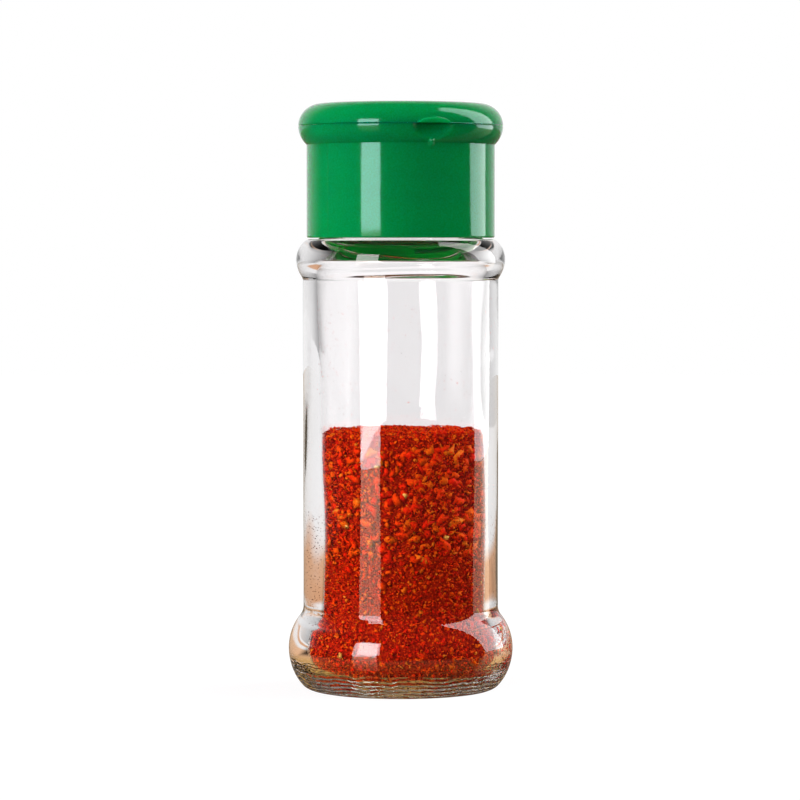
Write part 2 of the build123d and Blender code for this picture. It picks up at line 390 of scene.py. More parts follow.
# what they share: how far the mottle sways a flake's tint, how far it stands out, and a faint shine
chilliGrain = {"sway": 0.16, "bumpStrength": 0.7, "bumpDistance": 0.0002, "shine": 0.02}


def chilliMaterial(name):
    # mottled dry spice; a tinted one adds each piece's own tint, an attribute that the scatter leaves on it
    look, grain = chilliLooks[name], chilliGrain
    material, tree, shader = nodeMaterial(name, look["middle"])
    place = objectPlace(tree)
    noisy = addNode(tree, "ShaderNodeTexNoise", Vector=place, Scale=look["noiseScale"], Detail=4.0)
    mottle = factor = noisy.outputs["Fac"]
    if look["tinted"]:
        sway = mapRange(tree, mottle, 0.0, 1.0, -grain["sway"], grain["sway"], shape="LINEAR")
        tint = addNode(tree, "ShaderNodeAttribute", {"attribute_name": "tint"})
        factor = mathNode(tree, "ADD", tint.outputs["Fac"], sway, clamp=True)
    setInputs(
        tree, shader, Base_Color=colourRamp(tree, factor, look["stops"]), Roughness=look["roughness"],
        Normal=bumpNormal(tree, mottle, grain["bumpStrength"], grain["bumpDistance"]),
        Specular_IOR_Level=grain["shine"],
    )
    return material


foamLook = {
    "colour": (0.8, 0.8, 0.76), "stops": [(0.3, (0.68, 0.68, 0.64)), (0.7, (0.84, 0.84, 0.8))],
    "relief": {"rippleScale": 400, "grainScale": 4000, "grainShare": 0.8},
    "roughness": 0.8, "reliefStrength": 0.6, "reliefDistance": 0.0001,
}


def foamLiner():
    look = foamLook
    material, tree, shader = nodeMaterial("foamLiner", look["colour"])
    relief = reliefNode(tree, look["relief"])
    setInputs(
        tree, shader, Base_Color=colourRamp(tree, relief["Grain"], look["stops"]),
        Normal=bumpNormal(tree, relief["Height"], look["reliefStrength"], look["reliefDistance"]),
        Roughness=look["roughness"],
    )
    return material


greenMaterial = greenPlastic("greenPlastic", greenPlasticLook["wallDepth"])
filmMaterial = greenPlastic("hingePlastic", greenPlasticLook["filmDepth"])
glassMaterial = clearGlass()
bedMaterial, flakeMaterial, seedMaterial = [chilliMaterial(name) for name in chilliLooks]
foamMaterial = foamLiner()
print("materials built")


# Geometry Nodes building

def geometryTree(name, values):
    # a modifier tree with a geometry in and out, and an input for each named value
    tree = bpy.data.node_groups.new(name, "GeometryNodeTree")
    kinds = {float: "NodeSocketFloat", int: "NodeSocketInt"}
    tree.interface.new_socket("Geometry", in_out="INPUT", socket_type="NodeSocketGeometry")
    for key, value in values.items():
        socket = tree.interface.new_socket(key, in_out="INPUT", socket_type=kinds[type(value)])
        socket.default_value = value
    tree.interface.new_socket("Geometry", in_out="OUTPUT", socket_type="NodeSocketGeometry")
    return tree, tree.nodes.new("NodeGroupInput").outputs, tree.nodes.new("NodeGroupOutput").inputs


def finishTree(tree, geometry, wanted, material):
    realize = addNode(tree, "GeometryNodeRealizeInstances", Geometry=geometry)
    painted = addNode(tree, "GeometryNodeSetMaterial", Geometry=realize.outputs[0], Material=material)
    tree.links.new(painted.outputs[0], wanted["Geometry"])
    return tree


def grownPiece(name, tree, values, source=None, smoothAngle=None):
    # runs a tree on a carrier mesh with these input values, and returns the result as a plain mesh
    carrier = sceneObject(name + "Carrier", source or bpy.data.meshes.new(name + "Carrier"))
    modifier = carrier.modifiers.new(name, "NODES")
    modifier.node_group = tree
    identifiers = {item.name: item.identifier for item in tree.interface.items_tree if item.in_out == "INPUT"}
    for key, value in values.items():
        modifier[identifiers[key]] = value
    graph = bpy.context.evaluated_depsgraph_get()
    grown = carrier.evaluated_get(graph)
    mesh = bpy.data.meshes.new_from_object(grown, preserve_all_data_layers=True, depsgraph=graph)
    mesh.name = name
    bpy.data.objects.remove(carrier)
    piece = sceneObject(name, mesh)
    if smoothAngle:
        tidyMesh(piece, smoothAngle)
    return piece


# Jar glass

glassSizes = {
    "bodyR": 19.55, "bodyWall": 3.05,
    "footZ": 8.1, "footLowArc": 10.75, "footHighArc": 10.3, "footWall": 3.5,
    "heelArc": 2.5, "ringWidth": 3.2, "pushUp": 1.0, "waistArc": 3.0,
    "shoulderTopZ": 89.6, "shoulderR": 20.8, "shoulderZ": 85.5,
    "shoulderLowArc": 6.0, "shoulderHighArc": 5.0, "shoulderEdgeArc": 1.6, "shoulderFootArc": 1.5,
    "neckR": 15.8, "boreR": 13.2, "neckRootArc": 1.0,
    "neckBeadProud": 0.8, "neckBeadHeight": 2.2, "neckBeadZ": 92.6, "rimArc": 0.8,
    "floorZ": 2.0, "floorCrown": 0.6, "cavityHighArc": 8.0, "cavityWaistArc": 5.0,
    "cavityDomeInset": 0.6, "cavityDomeZ": 83.5, "cavityDomeArc": 5.0,
    "cavityEdgeZ": 85.2, "cavityEdgeArc": 1.0, "cavityFlareArc": 8.0, "cavityNeckArc": 2.2,
    "turnSegments": 288,
    # slow unevenness: how deep outside and in, how often round and up, what sets the inside's apart, and the
    # heights between which it comes in above the base and goes out below the neck
    "outerWave": 0.1, "innerWave": 0.1, "wavesRound": 2.6, "wavesUp": 0.045, "innerPlace": 9,
    "waveFrom": (0.5, 6), "waveTo": (80, 88),
    # how far the cavity lies to one side, which way, and the radius within which its floor follows less
    "innerShift": 0.33, "innerShiftDegrees": -18.4, "innerShiftR": 10,
}
# the cavity lies a little to the photograph's right, as the blown wall is thinner there
shiftAngle = radians(glassSizes["innerShiftDegrees"])
cavityShift = Vector((cos(shiftAngle), sin(shiftAngle), 0)) * glassSizes["innerShift"] * mm


def waistCentre(bulgeCentre, bulgeArc, wallR, filletR, side):
    # centre of a hollow arc that joins a bulge to a straight wall, above it (1) or below it (-1)
    r = wallR + filletR
    rise = sqrt((bulgeArc + filletR) ** 2 - (r - bulgeCentre.x) ** 2)
    return at(r, bulgeCentre.y + side * rise)


def innerArcCentre(bigCentre, bigArc, smallArc, z):
    # centre, at height z, of a small arc that touches a big one from within
    reach = bigArc - smallArc
    return at(bigCentre.x + sqrt(reach**2 - (z - bigCentre.y) ** 2), z)


def glassOutside():
    s = glassSizes
    footR, rimZ = glassHigh.x, glassHigh.z
    low = at(footR - s["footLowArc"], s["footZ"])
    high = at(footR - s["footHighArc"], s["footZ"])
    heel = innerArcCentre(low, s["footLowArc"], s["heelArc"], s["heelArc"])
    waist = waistCentre(high, s["footHighArc"], s["bodyR"], s["waistArc"], 1)
    ringInnerR = heel.x - s["ringWidth"]
    domeR = (ringInnerR**2 + s["pushUp"] ** 2) / (2 * s["pushUp"])
    beadLow = at(s["shoulderR"] - s["shoulderLowArc"], s["shoulderZ"])
    beadHigh = at(s["shoulderR"] - s["shoulderHighArc"], s["shoulderZ"])
    under = waistCentre(beadLow, s["shoulderLowArc"], s["bodyR"], s["shoulderFootArc"], -1)
    edgeZ = s["shoulderTopZ"] - s["shoulderEdgeArc"]
    edge = innerArcCentre(beadHigh, s["shoulderHighArc"], s["shoulderEdgeArc"], edgeZ)
    root = at(s["neckR"] + s["neckRootArc"], s["shoulderTopZ"] + s["neckRootArc"])
    beadArc = (s["neckBeadHeight"] ** 2 / 4 + s["neckBeadProud"] ** 2) / (2 * s["neckBeadProud"])
    bead = at(s["neckR"] + s["neckBeadProud"] - beadArc, s["neckBeadZ"])
    rim = at(s["neckR"] - s["rimArc"], rimZ - s["rimArc"])

    points = [at(0, s["pushUp"])]
    arcTo(points, at(0, s["pushUp"] - domeR), at(ringInnerR, 0), step=0.8)
    lineTo(points, at(heel.x, 0), count=4)
    arcTo(points, heel, towards(low, heel, s["footLowArc"]), step=4)
    arcTo(points, low, at(footR, s["footZ"]), step=2.5)
    arcTo(points, high, towards(high, waist, s["footHighArc"]), step=2.5)
    arcTo(points, waist, at(s["bodyR"], waist.y), step=4)
    lineTo(points, at(s["bodyR"], under.y), count=36)
    arcTo(points, under, towards(beadLow, under, s["shoulderLowArc"]), step=6)
    arcTo(points, beadLow, at(s["shoulderR"], s["shoulderZ"]), step=3)
    arcTo(points, beadHigh, towards(beadHigh, edge, s["shoulderHighArc"]), step=3)
    arcTo(points, edge, at(edge.x, s["shoulderTopZ"]), step=6)
    lineTo(points, at(root.x, s["shoulderTopZ"]), count=2)
    arcTo(points, root, at(s["neckR"], root.y), step=12)
    lineTo(points, at(s["neckR"], s["neckBeadZ"] - s["neckBeadHeight"] / 2))
    arcTo(points, bead, at(s["neckR"], s["neckBeadZ"] + s["neckBeadHeight"] / 2), step=12)
    lineTo(points, at(s["neckR"], rim.y), count=8)
    arcTo(points, rim, at(rim.x, rimZ), step=12)
    return points


def cavityOutline(inset=0.0):
    # the inside of the glass, from the rim's inner corner down to the axis, drawn in by inset
    s = glassSizes
    wallR = s["bodyR"] - s["bodyWall"] - inset
    boreR, rimZ = s["boreR"] - inset, glassHigh.z
    level = s["floorZ"] + inset
    bulgeR = glassHigh.x - s["footWall"] - inset
    lowArc, highArc = s["footZ"] - level, s["cavityHighArc"] - inset
    low, high = at(bulgeR - lowArc, s["footZ"]), at(bulgeR - highArc, s["footZ"])
    waist = waistCentre(high, highArc, wallR, s["cavityWaistArc"] + inset, 1)
    crownR = (low.x**2 + s["floorCrown"] ** 2) / (2 * s["floorCrown"])
    domeArc, edgeArc = s["cavityDomeArc"] - inset, s["cavityEdgeArc"] - inset
    dome = at(s["boreR"] - s["cavityDomeInset"], s["cavityDomeZ"])
    edge = innerArcCentre(dome, domeArc, edgeArc, s["cavityEdgeZ"])
    flare = waistCentre(edge, edgeArc, wallR, s["cavityFlareArc"] + inset, -1)
    neck = waistCentre(dome, domeArc, boreR, s["cavityNeckArc"] + inset, 1)
    rim = at(boreR + s["rimArc"], rimZ - s["rimArc"])

    points = [at(rim.x, rimZ)]
    arcTo(points, rim, at(boreR, rim.y), step=12)
    lineTo(points, at(boreR, neck.y), count=8)
    arcTo(points, neck, towards(dome, neck, domeArc), step=4)
    arcTo(points, dome, towards(dome, edge, domeArc), step=3)
    arcTo(points, edge, towards(edge, flare, edgeArc), step=6)
    arcTo(points, flare, at(wallR, flare.y), step=4)
    lineTo(points, at(wallR, waist.y), count=40)
    arcTo(points, waist, towards(high, waist, highArc), step=4)
    arcTo(points, high, at(bulgeR, s["footZ"]), step=3)
    arcTo(points, low, at(low.x, level), step=5)
    arcTo(points, at(0, level + s["floorCrown"] - crownR), at(0, level + s["floorCrown"]), step=0.5)
    points[-1].x = 0
    return points


def glassWave(r, z, angle):
    # the slow unevenness of mould-blown glass, none of it at the rim, base and neck
    s = glassSizes
    inner = r < s["bodyR"] - s["bodyWall"] / 2
    across, up = s["wavesRound"], s["wavesUp"]
    place = Vector((cos(angle) * across, sin(angle) * across, z * up + (s["innerPlace"] if inner else 0)))
    below = 1 - smoothStep(*s["waveTo"], z)
    fade = smoothStep(*s["waveFrom"], z) * below
    if inner:
        r += noise.noise(place) * 2 * s["innerWave"] * fade
        return r + s["innerShift"] * cos(angle - shiftAngle) * below * min(1, r / s["innerShiftR"]), z
    # the outside only sinks, so that it stays within the solid's outline
    return r - (1 + noise.noise(place)) * s["outerWave"] * fade, z


jarGlass = lathe(
    "jarGlass", glassOutside() + cavityOutline(), evenly(glassSizes["turnSegments"]), glassMaterial,
    glassWave, smoothAngle=60,
)
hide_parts("jar_glass")
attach(jarGlass, "jar")
print("jar glass built", len(jarGlass.data.vertices), "points")


# Ring liner

linerSizes = {"edgeArc": 0.2, "boreGap": 0.2, "turnSegments": 128}


def linerPiece():
    edge = linerSizes["edgeArc"]
    inner = glassSizes["boreR"] + linerSizes["boreGap"]
    corners = [
        (at(inner, linerLow.z), edge), (at(linerHigh.x, linerLow.z), edge),
        (at(linerHigh.x, linerHigh.z), edge), (at(inner, linerHigh.z), edge),
    ]
    return lathe("linerRing", softened(corners, step=30), evenly(linerSizes["turnSegments"]), foamMaterial)


liner = linerPiece()
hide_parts("seal_washer")
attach(liner, "liner")
print("liner built")


# Closure: collar, deck and lid

capSizes = {
    "skirtInR": 17.15, "skirtOutR": 18.7, "skirtEdge": 0.35, "skirtInEdge": 0.25,
    "beadR": 20.35, "beadArc": 5.0, "lidArc": 4.4, "lidWall": 1.4,
    "edgeReach": 0.3,    # how far beside an edge its soft corner counts with it
    "deckThickness": 1.4, "deckR": 16.0, "recessR": 16.55, "recessDepth": 2.05,
    "channelInR": 17.65, "channelOutR": 18.95, "channelDepth": 2.5,
    "channelFrontGap": 22, "channelRearGap": 20, "channelRunOut": 1,    # degrees from the front and rear
    "plugR": 16.45, "plugInR": 15.25, "plugEdge": 0.25, "plugLead": 0.4,
    "cornerArc": 0.12, "rootArc": 0.3, "recessEdge": 0.2,
    "flatY": 19.6,
    "scoopR": 7.0, "scoopDepth": 1.95, "scoopRise": 0.5, "scoopEdge": 0.3,
    "pipR": 0.82, "pipTopR": 0.15, "pipProud": 0.6, "pipSquash": 0.85,
    "lipWidth": 6.4, "lipHeight": 1.1, "lipProud": 0.9, "lipEdge": (-0.16, 0.14),
    # where the lip can be: within a turn of the front in radians, this far out from the plug, and below and
    # outside a share of the lid's arc and wall
    "lipReach": 1, "lipPlugGap": 1.5, "lipArcShare": 0.8, "lipWallShare": 0.6,
    # rows of points: up the skirt by share, below the bead for the pip, over and under the lid by share, and
    # the turn on the lid's arc below which they are close, for the lip
    "skirtRows": (0.3, 0.6, 0.9), "pipRows": (0.9, 0.7, 0.5, 0.35, 0.2, 0.1),
    "lidTopRows": (0, 0.5, 0.9), "lidUnderRow": 0.6, "lipRowsDegrees": 24,
    # steps in degrees from the front: fine round the scoop and lip, wide at the sides, medium at the hinge
    "turnSteps": [(24, 0.4), (160, 2.0), (180, 1.0)],
}
hair = 0.01     # what counts as on an edge
farOff = 1e3    # a limit where there is none


def capAngles():
    half, reached = [], 0.0
    for end, step in capSizes["turnSteps"]:
        while reached < end - hair:
            half.append(reached)
            reached += step
    turns = half + [180.0] + [360 - degree for degree in reversed(half[1:])]
    return [frontAngle + radians(degree) for degree in turns]


def turnFromFront(angle):
    return abs((angle - frontAngle + pi) % (2 * pi) - pi)


def flatLimit(angle):
    # radius at which the flat across the back of the closure cuts this direction
    return capSizes["flatY"] / sin(angle) if sin(angle) > 0 else farOff


def scoopLimit(angle, z):
    # radius at which the ball of the finger scoop meets this direction at this height
    s = capSizes
    ballY = s["beadR"] - s["scoopDepth"] + s["scoopR"]
    reach = ballY * -sin(angle)
    inside = reach**2 - ballY**2 - (z - seamZ - s["scoopRise"]) ** 2 + s["scoopR"] ** 2
    return reach - sqrt(inside) if reach > 0 and inside > 0 else farOff


def skirtCornerZ():
    # height at which the bead's arc meets the skirt
    s = capSizes
    return seamZ - sqrt(s["beadArc"] ** 2 - (s["skirtOutR"] - s["beadR"] + s["beadArc"]) ** 2)


def collarShape(r, z, angle):
    s = capSizes
    land, soft, near = collarHigh.z, s["scoopEdge"], s["edgeReach"]
    offFront = turnFromFront(angle) * 180 / pi
    aboveFloor = z > land - s["channelDepth"] - hair
    if s["channelInR"] - hair <= r <= s["channelOutR"] + hair and aboveFloor and z < land:
        # the cored channel runs out before the scoop and before the hinge
        front, rear, runOut = s["channelFrontGap"], 180 - s["channelRearGap"], s["channelRunOut"]
        cored = smoothStep(front - runOut, front + runOut, offFront)
        cored *= 1 - smoothStep(rear - runOut, rear + runOut, offFront)
        z = land - (land - z) * cored
    if r <= s["skirtInR"] and z < land - near:
        return r, z
    edge = min(scoopLimit(angle, land), flatLimit(angle))
    if edge < s["beadR"] + soft and s["recessR"] < r <= s["channelOutR"] + near and aboveFloor:
        # the rings of the land draw together where the scoop or the flat leaves less room
        outer = softMin(s["beadR"], edge, soft)
        r = s["recessR"] + (r - s["recessR"]) * (outer - s["recessR"]) / (s["beadR"] - s["recessR"])
    elif r > s["channelOutR"]:
        r = softMin(r, min(scoopLimit(angle, z), flatLimit(angle)), soft)
    if r > s["skirtOutR"] - near:
        # the gate pip, where the skirt meets the bead
        across = hypot(r * radians(offFront), (z - skirtCornerZ()) * s["pipSquash"])
        r += s["pipProud"] * (1 - smoothStep(s["pipTopR"], s["pipR"], across))
    return r, z


def collarOutline():
    s = capSizes
    land, deckZ = collarHigh.z, collarHigh.z - s["recessDepth"]
    bead, outR = at(s["beadR"] - s["beadArc"], seamZ), s["skirtOutR"]
    corner, soft, root = at(outR, skirtCornerZ()), s["cornerArc"], s["rootArc"]
    skirt = [(at(s["skirtInR"], collarLow.z), s["skirtInEdge"]), (at(outR, collarLow.z), s["skirtEdge"])]
    skirt += [(at(outR, collarLow.z + (corner.y - collarLow.z) * share), 0) for share in s["skirtRows"]]
    skirt += [(at(outR, corner.y - lower), 0) for lower in s["pipRows"]]
    sweep = [corner]
    arcTo(sweep, bead, at(s["beadR"], land), step=1.2)
    outer = [(point, 0) for point in sweep[:-2]] + [(at(s["beadR"], land), soft)]
    floorZ, underZ = land - s["channelDepth"], deckZ - s["deckThickness"]
    inward = [
        (at(s["channelOutR"], land), soft), (at(s["channelOutR"], floorZ), root),
        (at(s["channelInR"], floorZ), root), (at(s["channelInR"], land), soft),
        (at(s["recessR"], land), s["recessEdge"]), (at(s["recessR"], deckZ), root),
        (at(s["deckR"], deckZ), 0), (at(s["deckR"], underZ), 0), (at(s["skirtInR"], underZ), root),
    ]
    return softened(skirt + outer + inward, step=20)


def lidOutline():
    s = capSizes
    rimZ, soft = seamZ + (seamZ - collarHigh.z), s["cornerArc"]
    dome, underZ = at(s["beadR"] - s["lidArc"], seamZ), lidHigh.z - s["lidWall"]
    sweep = [at(dome.x, lidHigh.z)]
    lipTurn = radians(s["lipRowsDegrees"])
    arcTo(sweep, dome, dome + at(cos(lipTurn), sin(lipTurn)) * s["lidArc"], step=2.5)
    arcTo(sweep, dome, dome + at(s["lidArc"], rimZ - seamZ), step=0.8)
    inner = [at(s["beadR"] - s["lidWall"], rimZ)]
    plugRise = sqrt((s["lidArc"] - s["lidWall"]) ** 2 - (s["plugR"] - dome.x) ** 2)
    arcTo(inner, dome, at(s["plugR"], seamZ + plugRise), step=6)
    corners = [(at(dome.x * share, lidHigh.z), 0) for share in s["lidTopRows"]]
    corners += [(point, 0) for point in sweep[:-3]] + [(sweep[-1], soft), (inner[0], soft)]
    corners += [(point, 0) for point in inner[2:]]
    corners += [
        (at(s["plugR"], lidLow.z), s["plugLead"]), (at(s["plugInR"], lidLow.z), s["plugEdge"]),
        (at(s["plugInR"], underZ), s["plugEdge"]),
        (at(s["plugInR"] * s["lidUnderRow"], underZ), 0), (at(0, underZ), 0),
    ]
    return softened(corners, step=20)


def lidShape(r, z, angle):
    s = capSizes
    flat = softMin(r, flatLimit(angle), s["scoopEdge"])
    if r < s["plugR"] + s["lipPlugGap"] or z > seamZ + s["lidArc"] * s["lipArcShare"]:
        return flat, z
    # the thumb lip stands out along the front of the rim, lower towards its ends
    offFront = turnFromFront(angle)
    rimZ = seamZ + (seamZ - collarHigh.z)
    share = min(r * sin(offFront) / (s["lipWidth"] / 2), 1)
    away = z - rimZ - s["lipHeight"] * sqrt(1 - share**2) if offFront < s["lipReach"] else 1
    away = max(away, (share - 1) * s["lipWidth"] / 2)
    r = flat
    if r > s["beadR"] - s["lidWall"] * s["lipWallShare"]:
        r += (s["beadR"] + s["lipProud"] - r) * (1 - smoothStep(*s["lipEdge"], away))
    return r, z


collar = lathe("collarShell", collarOutline(), capAngles(), greenMaterial, collarShape, smoothAngle=40)
lid = lathe("flipLid", lidOutline(), capAngles(), greenMaterial, lidShape, smoothAngle=40)
print("collar and lid turned", len(collar.data.vertices), len(lid.data.vertices), "points")

deckSizes = {"holeRadius": 3.0, "pitchRadius": 8.5, "holeCount": 6, "rimSteps": 160, "holeSteps": 48}


def sifterDeckTree(values):
    # a disc with one hole in the middle of a ring of them
    s = deckSizes
    tree, given, wanted = geometryTree("sifterDeckTree", values)

    def circle(steps, radius):
        return addNode(tree, "GeometryNodeCurvePrimitiveCircle", Resolution=steps, Radius=radius)

    rim, hole = circle(s["rimSteps"], given["radius"]), circle(s["holeSteps"], given["holeRadius"])
    ring = addNode(tree, "GeometryNodeMeshCircle", Vertices=given["holeCount"], Radius=given["pitchRadius"])
    holes = addNode(tree, "GeometryNodeInstanceOnPoints", Points=ring.outputs[0], Instance=hole.outputs[0])
    joined = addNode(tree, "GeometryNodeJoinGeometry")
    for part in (holes, hole, rim):
        tree.links.new(part.outputs[0], joined.inputs["Geometry"])
    loose = addNode(tree, "GeometryNodeRealizeInstances", Geometry=joined.outputs[0])
    filled = addNode(tree, "GeometryNodeFillCurve", Curve=loose.outputs[0])
    raised = addNode(
        tree, "GeometryNodeExtrudeMesh", Mesh=filled.outputs[0], Offset_Scale=given["thickness"],
        Individual=False,
    )
    flipped = addNode(tree, "GeometryNodeFlipFaces", Mesh=filled.outputs[0])
    closed = addNode(tree, "GeometryNodeJoinGeometry")
    for part in (flipped, raised):
        tree.links.new(part.outputs[0], closed.inputs["Geometry"])
    welded = addNode(tree, "GeometryNodeMergeByDistance", Geometry=closed.outputs[0], Distance=1e-6)
    lift = addNode(tree, "ShaderNodeCombineXYZ", Z=given["level"]).outputs[0]
    placed = addNode(tree, "GeometryNodeTransform", Geometry=welded.outputs[0], Translation=lift)
    return finishTree(tree, placed.outputs[0], wanted, greenMaterial)


deckValues = {
    "radius": capSizes["deckR"] * mm, "thickness": capSizes["deckThickness"] * mm,
    "holeRadius": deckSizes["holeRadius"] * mm, "pitchRadius": deckSizes["pitchRadius"] * mm,
    "holeCount": deckSizes["holeCount"],
    "level": (collarHigh.z - capSizes["recessDepth"] - capSizes["deckThickness"]) * mm,
}
deck = grownPiece("sifterDeck", sifterDeckTree(deckValues), deckValues, smoothAngle=30)
for piece, body in ((collar, "collar"), (deck, "collar"), (lid, "lid")):
    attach(piece, body)
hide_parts("screw_collar")
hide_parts("flip_lid")
print("sifter deck built")


# Living hinge

hingeSizes = {"arc": 0.45, "film": 0.25, "width": 7.6, "arcSteps": 16, "widthSteps": 12}


def hingeFilm():
    # half a ring of film across the seam, built as a closed strip of cells
    s = hingeSizes
    loop = []
    for radius, way in ((s["arc"] + s["film"] / 2, 1), (s["arc"] - s["film"] / 2, -1)):
        for i in range(s["arcSteps"] + 1)[::way]:
            turn = -pi / 2 + pi * i / s["arcSteps"]
            loop.append((capSizes["flatY"] + radius * cos(turn), seamZ + radius * sin(turn)))
    verts, faces, count = [], [], len(loop)
    for j in range(s["widthSteps"] + 1):
        x = s["width"] * (j / s["widthSteps"] - 0.5)
        verts += [(x * mm, y * mm, z * mm) for y, z in loop]
    for j in range(s["widthSteps"]):
        for i in range(count):
            k = (i + 1) % count
            faces.append((j * count + i, j * count + k, (j + 1) * count + k, (j + 1) * count + i))
    for first in (0, s["widthSteps"] * count):
        for i in range(s["arcSteps"]):
            faces.append([first + i, first + i + 1, first + count - 2 - i, first + count - 1 - i])
    return meshObject("hingeFilm", verts, faces, filmMaterial, smoothAngle=45)


film = hingeFilm()
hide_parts("living_hinge")
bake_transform(film)
print("living hinge built")


# Screw threads on the neck and in the collar

threadSizes = {
    "turns": 1.5, "neckStartZ": 98.1, "startDegrees": 60, "height": 1.5, "depth": 0.9,
    "sink": 0.02,              # how far the ridge's middle lies in its wall
    "runOut": (0.06, 0.15),    # the share of the length that each end takes to run out, and what is left
    "lengthSteps": 96, "ridgeSteps": 12,
}


def threadTree(values, material):
    # a helix of a rounded ridge whose ends run out to nothing
    s = threadSizes
    tree, given, wanted = geometryTree("screwThread", values)
    helix = addNode(
        tree, "GeometryNodeCurveSpiral", Resolution=s["lengthSteps"], Rotations=given["turns"],
        Start_Radius=given["radius"], End_Radius=given["radius"],
        Height=mathNode(tree, "MULTIPLY", given["lead"], given["turns"]), Reverse=False,
    )
    placed = addNode(
        tree, "GeometryNodeTransform", Geometry=helix.outputs[0],
        Translation=addNode(tree, "ShaderNodeCombineXYZ", Z=given["startZ"]).outputs[0],
        Rotation=addNode(tree, "ShaderNodeCombineXYZ", Z=given["startAngle"]).outputs[0],
    )
    along = addNode(tree, "GeometryNodeSplineParameter").outputs["Factor"]
    fromEnd = mathNode(tree, "PINGPONG", along, 0.5)
    fade = mapRange(tree, fromEnd, 0.0, *s["runOut"], 1.0)
    tapered = addNode(tree, "GeometryNodeSetCurveRadius", Curve=placed.outputs[0], Radius=fade)
    upright = addNode(tree, "GeometryNodeSetCurveNormal", {"mode": "Z_UP"}, Curve=tapered.outputs[0])
    ridge = addNode(tree, "GeometryNodeCurvePrimitiveCircle", Resolution=s["ridgeSteps"], Radius=1.0)
    size = addNode(tree, "ShaderNodeCombineXYZ", X=given["ridgeDepth"], Y=given["ridgeHeight"], Z=1.0)
    shaped = addNode(tree, "GeometryNodeTransform", Geometry=ridge.outputs[0], Scale=size.outputs[0])
    swept = addNode(
        tree, "GeometryNodeCurveToMesh", Curve=upright.outputs[0], Profile_Curve=shaped.outputs[0],
        Fill_Caps=True,
    )
    return finishTree(tree, swept.outputs[0], wanted, material)


def threadPiece(name, radius, startZ, material):
    s = threadSizes
    values = {
        "radius": radius * mm, "lead": threadLead * mm, "turns": s["turns"], "startZ": startZ * mm,
        "startAngle": radians(s["startDegrees"]), "ridgeHeight": s["height"] / 2 * mm,
        "ridgeDepth": s["depth"] * mm,
    }
    return grownPiece(name, threadTree(values, material), values, smoothAngle=50)


neckStartZ = threadSizes["neckStartZ"]
neckThreadR = glassSizes["neckR"] - threadSizes["sink"]
neckThread = threadPiece("neckThread", neckThreadR, neckStartZ, glassMaterial)
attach(neckThread, "jar")
collarThreadR = capSizes["skirtInR"] + threadSizes["sink"]
collarThread = threadPiece("collarThread", collarThreadR, neckStartZ - threadLead / 2, greenMaterial)
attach(collarThread, "collar")
print("threads built")


# Chilli: a bumpy bed just inside the glass, under scattered flakes, grit and seeds

chilliSizes = {
    "levelZ": 51.4, "heap": 0.3, "topInset": 0.35, "bedInset": 0.8, "glassGap": 0.18, "floorGap": 0.05,
    "wallFromR": 10, "bedSegments": 160, "topRings": 24, "rowStep": 0.8, "edgeRow": 0.4, "topBand": 0.5,
    # lumps: how often, their noise's roughness, spacing and layers, how high on the whole, and by share at
    # the top and the side; then the top's slow swell
    "lumpScale": 0.75, "lumpNoise": (0.9, 2.1, 3), "lumpHeight": 0.28, "topLump": 1.6, "sideLump": 0.6,
    "swellScale": 0.2, "swell": 0.9,
    "seed": 7, "firstSeed": 0, "seedStep": 20, "shapeCount": 5,
}
# each layer: how many, size and its spread, greatest tilt, lift off the bed, tint range, heights covered,
# and each chip's corners, thickness and curl
chilliLayers = {
    "chilliFlakesHigh": {
        "count": 540, "size": 1.8, "sizeSpread": 0.45, "tilt": 0.6, "lift": 0.48, "heights": (27, 48.5),
        "tintLow": 0.3, "tintHigh": 0.93, "corners": 8, "thickness": 0.07, "curl": 0.45,
    },
    "chilliFlakesLow": {
        "count": 130, "size": 1.5, "sizeSpread": 0.45, "tilt": 0.6, "lift": 0.4, "heights": (1, 27),
        "tintLow": 0.3, "tintHigh": 0.93, "corners": 8, "thickness": 0.08, "curl": 0.4,
    },
    "chilliChips": {
        "count": 8500, "size": 0.66, "sizeSpread": 0.5, "tilt": 0.8, "lift": 0.38, "heights": (1, 53),
        "tintLow": 0.1, "tintHigh": 0.95, "corners": 6, "thickness": 0.12, "curl": 0.45,
    },
    "chilliGrit": {
        "count": 30000, "size": 0.36, "sizeSpread": 0.5, "tilt": 1.5, "lift": 0.42, "heights": (1, 53),
        "tintLow": 0.0, "tintHigh": 0.9, "corners": 3, "thickness": 0.55, "curl": 0.0,
    },
    "chilliSeeds": {
        "count": 13, "size": 1.25, "sizeSpread": 0.25, "tilt": 0.5, "lift": 0.5, "heights": (4, 50),
        "tintLow": 0.5, "tintHigh": 0.5, "corners": 9, "thickness": 0.26, "curl": 0.05,
    },
}


def chilliOutline():
    # the cavity drawn in, up to the fill level, with a low heap on top
    s = chilliSizes
    level = s["levelZ"] - s["topInset"]
    points = [point for point in cavityOutline(s["bedInset"]) if point.y < level]
    edgeR = points[0].x
    shares = np.linspace(0, 1, s["topRings"])[:-1]
    dense = [at(edgeR * share, level + s["heap"] * (1 - share**2)) for share in shares]
    dense += [at(edgeR, level), at(edgeR, level - s["edgeRow"])]
    for point in points:
        lineTo(dense, point, max(1, ceil((point - dense[-1]).length / s["rowStep"])))
    return dense


def bedShape(r, z, angle):
    s = chilliSizes
    place = Vector((r * cos(angle), r * sin(angle), z))
    lump = noise.fractal(place * s["lumpScale"], *s["lumpNoise"]) * s["lumpHeight"]
    if z > s["levelZ"] - s["topInset"] - s["topBand"]:
        z += lump * s["topLump"] + noise.noise(place * s["swellScale"]) * s["swell"]
    return max(r + lump * s["sideLump"], hair), z


